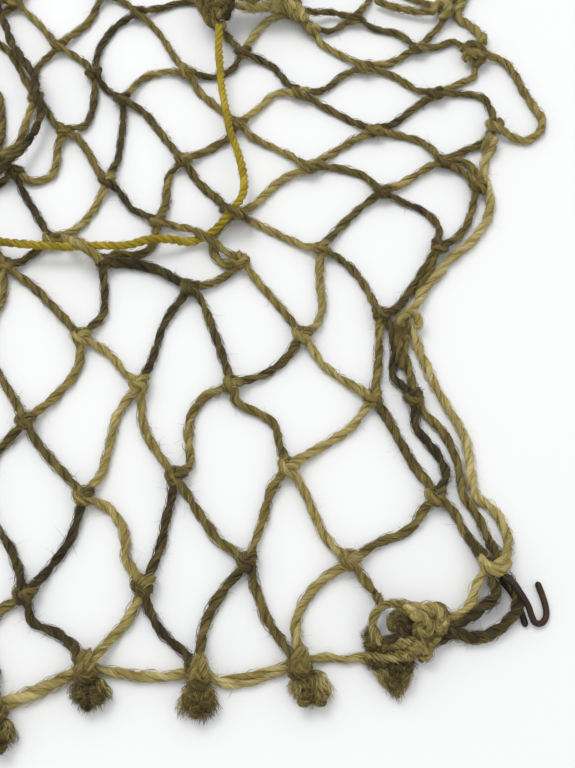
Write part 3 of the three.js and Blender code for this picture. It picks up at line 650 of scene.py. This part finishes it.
ACROSS_CORD = [(-116, 84, 3), (-109, 78.3, 9), (-102.6, 71, 15), (-97.4, 67, 15), (-94, 66.2, 10),
               (-91.6, 66, 5)]
OVER_KNOT = [(-34, 101, 3), (-31.4, 97, 9), (-28, 92, 15.6), (-24, 89.6, 16.2), (-21.4, 91, 10),
             (-19.6, 93, 5)]
# Radius, tone and true points of the strands that lie beside or over a row.
EXTRA_TURNS = {
    "net_row_03": [(1.8, 0.36, [(41.6, -10, 2.4), (45.9, -17.7, 2.6), (51.2, -29.4, 2.6),
                                (57, -41.3, 2.8), (62, -51, 3.4)])],
    "net_row_04": [(2.0, 0.34, [(55, 36, 6.4), (53.8, 31, 5.2), (53.4, 25, 4.4), (53.2, 16.8, 4.4),
                                (54.6, 7, 4)]),
                   (1.9, 0.40, [(55.4, 22, 5), (56, 28, 5.4), (57.4, 34, 6)])],
    "net_row_05": [(1.9, 0.20, [(-90, 66.6, 4.4), (-81, 67.6, 4), (-70.9, 66.2, 4),
                                (-60.7, 61, 4), (-52, 54.6, 4.6)])],
    "net_row_06": [(1.9, 0.66, ACROSS_CORD)],
    "net_row_07": [(1.9, 0.42, OVER_KNOT),
                   (1.8, 0.50, [(83.4, 130.1, 3.6), (89.5, 127.5, 3.4), (95.3, 120.8, 4),
                                (98.9, 114.3, 6)]),
                   (1.9, 0.52, [(96.6, 130.4, 2.6), (100, 123.6, 2.8), (100.4, 118.4, 4.6),
                                (97.6, 112.4, 6.4)])],
    "net_row_13": [(2.0, 0.50, [(50.6, 249.9, 5), (59.1, 245.9, 5), (67.5, 242.7, 5),
                                (77.2, 240.3, 5.4), (85, 239.5, 7)]),
                   (1.9, 0.40, [(91, 254, 2.2), (97.6, 254, 2.8), (103.4, 253, 4.6)]),
                   (1.9, 0.72, [(82.6, 239, 4.6), (86.4, 244.6, 8), (91.4, 243.2, 9),
                                (91.6, 237.4, 8), (86.6, 235.4, 5)])],
}

for number, (lower, stops) in enumerate(ROWS):
    node = f"net_row_{number + 1:02}"
    shape = Shape(100 + number)
    shape.strand(row_points(lower, stops), radius=TWINE * (1.01 - FAR_THINNING * number))
    shape.wind(EXTRA_TURNS.get(node, []), turn=17, fuzz=1.5, lean=0)
    shape.build("twine_" + node[4:], jute_material, "net", node)
# ---------- the lines at the edge ----------

FOOT_LINE = layout("""-236,-151.6,4 -228,-152,2.7 -200,-156,2.7 -180,-157,2.7 -160,-155,2.9
    -138,-152,2.7 -122,-149,2.9 -114,-146,2.9 -103,-142,2.8 -92,-136.5,2.8 -82,-131.5,3.0
    -76,-133,2.8 -68,-134.8,2.5 -58,-135.6,2.4 -48,-135.4,2.4 -40,-133.8,2.7 -36,-133,2.9
    -29,-137,2.7 -20,-136.4,2.6 -10,-134,2.5 -2,-132,2.7 5,-129,2.9 11,-128.6,2.4 17,-127.8,2.0
    23,-128.6,2.0 30,-127.6,2.2 37,-127,3.6""")
# The foot rope gets thinner to the right: where each width ends, and its share of the twine's.
FOOT_WIDTHS = [(-85, 1.35), (-32, 1.1), (8, 0.95), (math.inf, 0.82)]

# The turns of a knot on the foot rope: radius, tone, turn and fuzz, and points from its middle.
# The first is the bight above the rope, and BIGHT_SWAY is how far each of its points sways.
FOOT_TURNS = [
    (1.8, 0.62, 12, 2, [(-1.8, -5.6, 5.2), (-2.0, -1, 8.2), (-1.3, 4, 9.2), (0, 7.4, 8.6),
                        (1.3, 4, 9.2), (2.0, -1, 8.4), (1.7, -5.4, 5.4)]),
    (1.8, 0.5, 12, 2, [(-4.8, -1.4, 3), (-3.6, 0.6, 6), (-0.6, -0.6, 8.6), (2.6, -1.8, 8),
                       (4.4, -2.6, 4.4)]),
    (1.8, 0.32, 12, 2, [(-4.2, -3.8, 4), (-1.4, -4.4, 8), (1.8, -4, 8.2), (4.2, -1.2, 5.4)]),
    (TWINE, 0.22, 14, 1, [(0, -6, 5), (0.2, -1, 7), (0, 4, 7)]),
]
BIGHT_SWAY = (0, 0, 1, 1, 1, 0, 0)

shape = Shape(201)
widths = [next(wide for end, wide in FOOT_WIDTHS if x < end) for x, _, _ in FOOT_LINE]
shape.strand([[x, y, z, wide, 0.74] for (x, y, z), wide in zip(FOOT_LINE, widths)], turn=25)
shape.strand([[-33, -134.5, 2.9, 0.8, 0.82], [-27, -138.8, 2.2, 0.9, 0.82],
              [-18, -138.6, 2.1, 0.95, 0.8], [-8, -135.6, 2.0, 0.95, 0.8],
              [0, -132.4, 2.4, 0.85, 0.8]], radius=1.7)
for knot in ("Bx", "B0", "B1", "B2", "B3"):
    x, y = KNOTS[knot]
    sway = shape.rng.uniform(-0.6, 0.6)
    for i, (radius, tone, turn, fuzz, points) in enumerate(FOOT_TURNS):
        sways = BIGHT_SWAY if i == 0 else (0,) * len(points)
        points = [(x + a + sway * share, y + b, z) for (a, b, z), share in zip(points, sways)]
        shape.strand(path(points, tone), radius=radius, turn=turn, fuzz=fuzz)
shape.build("foot_line", jute_material, "net", "foot_rope")

shape = Shape(202)
shape.strand(path(HEAD_ROPE, 0.78))
shape.build("head_line", jute_material, "net", "head_rope")
shape = Shape(203)
shape.strand(path(LEFT_SIDE_LINE, 0.78))
shape.build("left_side_twine", jute_material, "net", "side_line_left")

SIDE_TWINE = layout("""111,149,5 108,141,3.6 104.6,133,2.4 103.6,124.5,2.2 104.9,114,2.2
    104.6,104.5,2.2 101,93.5,2.2 92.3,81,2.4 82.7,72,2.6 74.6,61.5,2.4 68,52.5,2.8 62,42,4.6
    57.2,36.6,5.8 59,30.4,4.8 61.4,24,3 63.4,16,2.4 66.4,7.5,2.2 70,-3,2.2 76,-16,2.2
    80.6,-26.5,2.2 82.2,-38,2.2 82.6,-50,2.2 84,-57,2.2 91,-63,2.2 94.6,-70,2.4 95.4,-79.5,3.4
    92,-85.6,6.2 87.4,-87.8,8.4 84.4,-86.4,7.4 83.2,-84.6,5 85.6,-84,3.2 87.6,-87,3.2
    84.6,-90.4,5.6 80.2,-96.4,4.8 78,-102.6,4.4 75,-107.4,4.6 70,-110.2,5.2 64.6,-110.6,7""")
shape = Shape(204)
shape.strand(path(SIDE_TWINE, 0.82), radius=2.05)
shape.strand(path([(56.4, 29.6, 4.8), (54.4, 34.4, 7.2), (58, 38.6, 8.2), (62.4, 37, 7.2),
                   (63, 31.6, 4.8), (58.4, 30.8, 3)], 0.7), turn=14)
shape.strand(path([(92.4, -81.6, 4.4), (93.6, -86.6, 8), (89, -90, 9.2), (84.2, -88.2, 7.8),
                   (84.6, -83.8, 4.8)], 0.78), turn=14)
shape.strand(path([(107.6, 160, 4.6), (110.4, 155.6, 7.4), (114.4, 153.6, 6.4),
                   (118.6, 151, 4.4)], 0.62, 1.05), turn=16, fuzz=2.5)
shape.strand(path([(78, -74, 3.4), (82, -80.5, 4.8), (86, -85.4, 5.4), (89, -88, 5)], 0.22),
             radius=2.1)
shape.strand(path([(87, -77, 4), (89.4, -82.4, 4.6), (90.4, -87, 4.6), (89, -92, 4.6)], 0.3),
             radius=2.2)
shape.tuft((108.4, 151, 4), (105.4, 135, 3), 7, 5, 260, 0.72)
shape.build("right_side_twine", jute_material, "net", "side_line_right")

shape = Shape(205)
shape.strand(path(UPPER_SIDE_LINE, 0.7, 1.25), turn=16)
shape.strand(path([(100.4, 214.6, 4.4), (102.6, 208.8, 7.6), (107.4, 206.6, 7.2),
                   (111.6, 209, 5), (114.6, 208.4, 3.6)], 0.56, 1.05), turn=16, fuzz=2)
shape.strand(path([(99, 209, 5.4), (103.4, 213.6, 7.6), (108.6, 212.6, 6.8),
                   (110.4, 207.4, 4.4)], 0.42, 1.05), turn=16, fuzz=2)
shape.wind([(1.9, 0.36, [(97.6, 210.3, 4), (102.4, 213.4, 8), (107.6, 208.8, 8),
                         (108.7, 202.7, 6.4), (104.4, 198.2, 5)]),
            (1.9, 0.56, [(109.6, 207, 5), (104.6, 205.6, 8.6), (100.6, 207, 7),
                         (99.4, 202, 5)])], turn=14, fuzz=2, lean=0)
shape.build("upper_side_twine", jute_material, "net", "side_line_upper")

shape = Shape(206)
shape.strand(path(SIDE_LOOP, 0.6))
shape.build("side_loop_twine", jute_material, "loop", "side_loop")

shape = Shape(207)
shape.strand(path(FOLDED_BIGHT, 0.2), radius=2.15)
shape.build("folded_twine", jute_material, "net", "folded_bight")

# ---------- the eye, the hook and the corner knot ----------

shape = Shape(208)
shape.strand(path([(66, -114.6, 6), (70, -116.4, 4.8), (78, -118.6, 3.8), (87, -115.8, 4),
                   (93.8, -109.8, 4.8), (96.4, -104.4, 5.4), (96.2, -98.6, 5.6),
                   (92.6, -92.6, 5.8), (89.4, -90.8, 5.8), (87, -93, 5.6), (88.4, -98, 5.4),
                   (86.6, -102.8, 5.2), (82, -106.2, 5), (75.8, -111, 5), (69, -113, 5.6),
                   (64, -113, 7)], 0.24), radius=2.1, turn=16)
shape.strand(path([(66, -117.6, 4), (72, -119.4, 3.4), (79, -120.6, 2.6), (88, -117.4, 2.6),
                   (95, -110.6, 3.4), (98.6, -104.6, 4), (98.2, -99, 4.4)], 0.42), radius=1.6,
             turn=16)
shape.build("eye_twine", jute_material, "net", "eye_loop")

shape = Shape(209)
shape.strand(path(HOOK_WIRE, 0.42), radius=1.38, plies=1, fuzz=0, sides=18, rough=0.12,
             ends=0.35, wander=0.0, lean=0)
shape.build("hook_wire", rust_material, "hook", "iron_hook")

# Radius, tone and points of each strand in the corner knot.
CORNER_TURNS = [
    (1.9, 0.60, [(36.6, -99.6, 2.6), (38.6, -102.4, 4.4), (40, -106.4, 6)]),
    (1.8, 0.70, [(54, -105.4, 8.4), (47.3, -103.8, 9), (41.6, -104, 8.8), (37.2, -107.4, 8.2),
                 (35.2, -112.4, 7.6), (36.2, -118, 7), (40, -121.4, 6.4), (46, -122.4, 5.8)]),
    (2.2, 0.74, [(47.6, -105.2, 9.8), (52.4, -104.8, 11), (58, -105, 11.2), (62.6, -107.4, 9.6),
                 (63.6, -112, 8.4), (61, -116.6, 7)]),
    (2.0, 0.42, [(52.6, -109.2, 9.4), (47.6, -107.2, 10.2), (43.2, -109.4, 9.8),
                 (43, -113, 9), (46.4, -115, 8.8)]),
    (1.9, 0.22, [(49.4, -112, 10), (46.6, -110.4, 10.8), (45.4, -112.4, 10),
                 (48, -114.2, 9.6), (51.4, -112.8, 9.6)]),
    (2.1, 0.66, [(50.4, -108.6, 11), (54.4, -108.6, 12), (57.6, -111.4, 11.6),
                 (57.4, -115, 10.2), (53.4, -116.4, 9.6)]),
    (1.8, 0.56, [(59.6, -109, 10.4), (60.6, -112.8, 10), (63.2, -115, 8), (66, -114.4, 6)]),
    (1.9, 0.46, [(60.4, -104.4, 7.4), (65, -106.4, 7.6), (66.8, -111, 6.8), (67, -114.6, 5.4)]),
    (2.2, 0.08, [(48.4, -116.4, 5.6), (52.6, -118, 6), (57.4, -117.6, 6), (61, -115.4, 5.6)]),
    (2.0, 0.66, [(44, -121.4, 6.6), (49.4, -119.6, 8.2), (55, -119.8, 8.6), (59.4, -121, 7.4),
                 (61.4, -118.6, 6.6), (66.1, -113.6, 5.8)]),
    (1.9, 0.28, [(69.6, -116.6, 4.4), (64.8, -119.6, 4.2), (58.8, -122.4, 4.2),
                 (52.4, -124.6, 4.6)]),
    (2.1, 0.64, [(30, -128.6, 2.8), (36, -128, 4.4), (42, -127, 6.2), (48, -126, 6.8),
                 (54.6, -125, 5.4)]),
    (2.0, 0.62, [(46.4, -125.6, 6), (51, -123.4, 7.8), (56.4, -123.4, 7), (57.4, -126.4, 5.2),
                 (53.6, -128, 4.4)]),
    (2.4, 0.12, [(36, -121.4, 4.4), (40.4, -123.6, 5.4), (46, -124.4, 4.6),
                 (50, -123.6, 4)]),
    (2.2, 0.20, [(37.4, -127.4, 3.2), (43.6, -129.6, 4.4), (50, -128.6, 4)]),
    (1.7, 0.16, [(38.6, -121, 7), (42.4, -118.6, 8), (46.6, -118, 8)]),
    (2.2, 0.14, [(46, -108.6, 6.6), (52, -111, 7), (58, -113, 7), (62, -113, 6)]),
    (2.2, 0.20, [(47, -113.4, 6), (53, -114.6, 6.6), (59, -116, 6)]),
    (2.0, 0.50, [(57.6, -108, 9.4), (54.4, -111.6, 11.6), (53, -115, 10.6), (55.6, -118, 8.4)]),
]
shape = Shape(210)
shape.wind(CORNER_TURNS, turn=13, fuzz=1.6, rough=1.8, ends=0.4, lobes=0.34, reach=(1.2, 4.4))
# Place and tone of the loose curls on it.
FRAYED_SPOTS = [(54, -107, 12, 0.72), (59, -108, 12, 0.66), (61.4, -112.6, 10, 0.6),
                (50, -105, 10.4, 0.68), (46, -109.6, 11, 0.3), (44.6, -112.6, 10, 0.4),
                (55.6, -113.4, 12.4, 0.6), (57.6, -117, 10, 0.26), (52.4, -117.4, 9, 0.2),
                (48, -120.4, 8.6, 0.5), (53, -121.4, 9.4, 0.66), (57.4, -122.6, 7.6, 0.6),
                (45.6, -123.6, 7, 0.34), (50, -125.6, 7.6, 0.6), (38.6, -121.6, 7.4, 0.3),
                (36, -118.6, 6.4, 0.56), (34.4, -122.4, 6, 0.44), (64.4, -111, 8, 0.6)]
for x, y, z, tone in FRAYED_SPOTS:
    shape.curl(x, y, z, tone, radius=1.0, size=1.6)
shape.tuft((39, -121.4, 5), (29.6, -119, 4), 7.5, 5, 200, 0.56)
shape.tuft((39.4, -122.6, 5), (31, -125.4, 3.4), 6.5, 5, 170, 0.46)
shape.tuft((38.4, -120.6, 5), (32, -115.4, 4.4), 4.6, 4, 110, 0.6)
shape.build("corner_knot_twine", jute_material, "net", "corner_knot_right")


# A plain knot: how much its tone differs, and its points in shares of its size.
PLAIN_TURNS = [
    (0.0, [(-1.2, -0.2, 0), (-0.3, 0.8, 0.8), (0.8, 0.3, 0.9), (0.7, -0.7, 0), (-0.5, -0.9, 0)]),
    (0.0, [(-0.8, 0.8, -0.1), (-0.6, 0, 0.9), (0.2, -0.8, 0.7), (1.1, -0.6, 0)]),
    (-0.2, [(0.9, 0.9, 0), (0.1, 0.5, 0.3), (-0.6, -0.4, 0.2), (-0.2, -1.1, 0)]),
]
PLAIN_HEIGHT = 5.0


def plain_knot(seed, name, node, x, y, size, tone):
    """A knot of three turns of twine, for the corners outside the main view."""
    shape = Shape(seed)
    for change, turns in PLAIN_TURNS:
        points = [(x + a * size, y + b * size, PLAIN_HEIGHT + c * size) for a, b, c in turns]
        shape.strand(path(points, tone + change), radius=2.3, turn=17, fuzz=1.5)
    shape.build(name, jute_material, "net", node)


plain_knot(211, "left_corner_knot", "corner_knot_left", -236, -151, 6.4, 0.75)
plain_knot(212, "head_knot_left_twine", "head_knot_left", -198, 301, 4.8, 0.75)
plain_knot(213, "head_knot_right_twine", "head_knot_right", 107, 274, 4.8, 0.75)

# ---------- the gathering knot, the hank and the draw cord ----------

GATHER_TURNS = [
    (2.3, 0.46, [(-49.8, 249, 17), (-49.6, 240, 16.4), (-47, 230, 15), (-42.6, 223, 13.6),
                 (-38, 220.4, 13.4), (-35, 223, 14)]),
    (2.3, 0.36, [(-45.6, 251, 20), (-45.6, 240, 19.4), (-43, 230, 17), (-39, 222.6, 15)]),
    (2.3, 0.56, [(-41, 252, 23), (-40.6, 241, 21.6), (-39.6, 231, 18.6),
                 (-38, 223, 16)]),
    (2.4, 0.30, [(-36.6, 252, 22.6), (-35.6, 241, 21), (-35.4, 231, 18), (-36.4, 223.6, 15.6)]),
    (2.4, 0.22, [(-32, 250, 19), (-31.4, 240, 18), (-32.6, 231, 16), (-35, 224.4, 14)]),
    (2.3, 0.50, [(-50, 240, 15), (-45.6, 237, 20.4), (-39, 236, 22.8), (-32.6, 238, 20.4),
                 (-29.6, 242, 16)]),
    (2.1, 0.40, [(-47, 233, 14), (-42, 230.6, 19), (-36, 231.6, 19.4), (-31.6, 235, 15)]),
]
shape = Shape(214)
shape.wind(GATHER_TURNS, turn=18, fuzz=2, ends=0.4, lean=0)
shape.build("gather_twine", jute_material, "net", "gather_knot")

HANK_TURNS = [
    (2.4, 0.66, [(-30, 236, 15), (-22.9, 233.4, 14.6), (-14.3, 234, 14), (-6, 237, 13.4),
                 (1.4, 234.6, 12.6), (7, 229, 11.4)]),
    (2.6, 0.80, [(-29, 240.6, 17), (-20, 239.6, 17), (-11, 240.4, 16), (-2, 240.6, 14.8),
                 (5, 235.4, 13.4), (10.6, 228, 11)]),
    (2.4, 0.60, [(-29, 246, 17), (-19, 246.6, 17), (-9, 246, 16), (1, 243, 14.6),
                 (8, 238, 13.6)]),
    (2.3, 0.44, [(-21, 233, 12), (-20, 240, 19.6), (-17, 248, 17), (-14, 252, 13)]),
    (2.0, 0.70, [(-8, 231.6, 12), (-5.6, 238, 18), (-4, 245, 17), (-2, 250, 12.6)]),
]
shape = Shape(215)
shape.wind(HANK_TURNS, turn=18, fuzz=3, rough=1.5, ends=0.4, lobes=0.28, lean=0)
shape.build("hank_twine", jute_material, "net", "gathered_hank")

HITCH_TURNS = [
    (1.7, 0.5, [(-221.6, 87, 7.4), (-226, 84.4, 10.4), (-231, 87, 9.4), (-228, 91, 6.6),
                (-223.6, 88, 5)]),
    (1.7, 0.5, [(-228, 84, 5), (-225, 89, 11), (-222.6, 82.6, 8.6), (-221.6, 79.4, 6)]),
]
shape = Shape(216)
shape.wind(HITCH_TURNS, plies=3, turn=12, fuzz=0.4, lean=0)
shape.build("cord_hitch", cord_material, "net", "draw_cord_hitch")

shape = Shape(217)
cord_line = shape.strand(path(DRAW_CORD, 0.55), radius=1.95, plies=3, turn=12, fuzz=0.35,
                         lobes=0.5, rough=0.6, ends=0.9, wander=0.1, reach=(0.6, 1.8), lean=0)
cord = shape.build("mustard_draw_cord", cord_material, "net", "draw_cord")

# ---------- the frayed tails ----------

TAIL_DROP = 6.2  # how far in front of its knot a tail begins
# Knot, shift to the right, width, length and tone of each tail on the foot rope.
TAILS = [("Bx", 0, 15.5, 14, 0.42), ("B0", 1.5, 15.5, 14, 0.44), ("B1", 2.0, 17.5, 14, 0.42),
         ("B2", 0, 16.5, 17, 0.40), ("B3", 4.3, 19, 14.5, 0.52)]
for i, (knot, shift, width, length, tone) in enumerate(TAILS):
    x, y = KNOTS[knot][0] + shift, KNOTS[knot][1] - TAIL_DROP
    shape = Shape(220 + i)
    shape.tuft((x - 0.6 * shift, y + 0.8, 4.8), (x, y - 6, 4.6), width * 0.8, 7, 260, tone + 0.1)
    shape.brush(x, y, width, length, tone)
    shape.build(f"tail_brush_{i + 1}", jute_material, f"tail_{i + 1}",
                f"frayed_tail_{i + 1}")

# Place and tone of the locks and curls of the corner tail.
CORNER_LOCKS = [(34.6, -128.6, 0.34), (37.4, -129.2, 0.28), (40.2, -129, 0.12),
                (43, -129.4, 0.16), (45.8, -129.2, 0.16), (48.4, -128.8, 0.3),
                (50.4, -128.4, 0.36)]
CORNER_CURLS = [(37.4, -130.8, 0.3), (41, -131.6, 0.16), (44.4, -132.4, 0.2),
                (48, -130.6, 0.26), (42.6, -135.6, 0.3), (46.4, -134.6, 0.4)]
TAIL_MIDDLE, TAIL_TIP = 43, -147

shape = Shape(230)
for x, y, tone in CORNER_LOCKS:
    beside = x - TAIL_MIDDLE
    shape.tuft((x, y, 4.6), (44.6 + 0.22 * beside, TAIL_TIP + 0.7 * abs(beside), 3.4), 4.4, 5.4,
               190, tone + 0.44)
    shape.tuft((x, y, 5.6), (x + 0.2, y - 6, 5.2), 4.4, 6, 60, tone)
for x, y, tone in CORNER_CURLS:
    shape.curl(x, y, 6.4, tone, 1.1)
shape.build("tail_brush_corner", jute_material, "tail_corner",
            "frayed_tail_corner")

# ---------- camera, light and floor ----------

ELEVATION = math.radians(62)
FIELD_OF_VIEW = math.radians(40)  # along the frame's longer side
DISTANCE = 495.86  # millimetres from the camera to the point it looks at
SENSOR = 36.0  # millimetres, along the frame's longer side

camera_data = bpy.data.cameras.new("camera")
camera_data.sensor_width = SENSOR
camera_data.lens = SENSOR / 2 / math.tan(FIELD_OF_VIEW / 2)
camera_data.clip_start, camera_data.clip_end = 0.01, 20.0
camera = bpy.data.objects.new("camera", camera_data)
aim = Vector((SHIFT + np.array([0, 0, LIE])) * MM)
back = Vector((0, -math.cos(ELEVATION), math.sin(ELEVATION)))
camera.location = aim + back * DISTANCE * MM
camera.rotation_mode = "QUATERNION"
camera.rotation_quaternion = (-back).to_track_quat("-Z", "Y")
bpy.context.scene.collection.objects.link(camera)
bpy.context.scene.camera = camera


def area_light(name, place, size, power):
    """A round light in metres and watts, that shines on the middle of the net."""
    data = bpy.data.lights.new(name, "AREA")
    data.shape = "DISK"
    data.size = size
    data.energy = power
    light = bpy.data.objects.new(name, data)
    light.location = aim + Vector(place)
    light.rotation_mode = "QUATERNION"
    light.rotation_quaternion = (-Vector(place)).to_track_quat("-Z", "Y")
    bpy.context.scene.collection.objects.link(light)


area_light("key", (-0.45, 0.55, 1.4), 0.9, 10.0)
area_light("fill", (0.9, -0.6, 1.2), 1.2, 2.0)

world = bpy.data.worlds.new("studio")
world.use_nodes = True
background = world.node_tree.nodes["Background"]
background.inputs["Color"].default_value = (0.95, 0.98, 1.0, 1.0)
background.inputs["Strength"].default_value = 0.95
bpy.context.scene.world = world
bpy.context.scene.view_settings.view_transform = "Standard"

HALF = 2.5  # half the floor's side, in metres
FLOOR_HEIGHT = -0.0001  # a little below the net, so that the two don't touch
CORNERS = [(-HALF, -HALF), (HALF, -HALF), (HALF, HALF), (-HALF, HALF)]

floor_mesh = bpy.data.meshes.new("floor")
floor_mesh.from_pydata([(x, y, FLOOR_HEIGHT) for x, y in CORNERS], [], [(0, 1, 2, 3)])
floor = bpy.data.objects.new("floor", floor_mesh)
bpy.context.scene.collection.objects.link(floor)
floor_material = bpy.data.materials.new("pale_floor")
floor_material.use_nodes = True
floor_shader = floor_material.node_tree.nodes["Principled BSDF"]
floor_shader.inputs["Base Color"].default_value = (0.755, 0.75, 0.74, 1.0)
floor_shader.inputs["Roughness"].default_value = 0.7
floor_mesh.materials.append(floor_material)
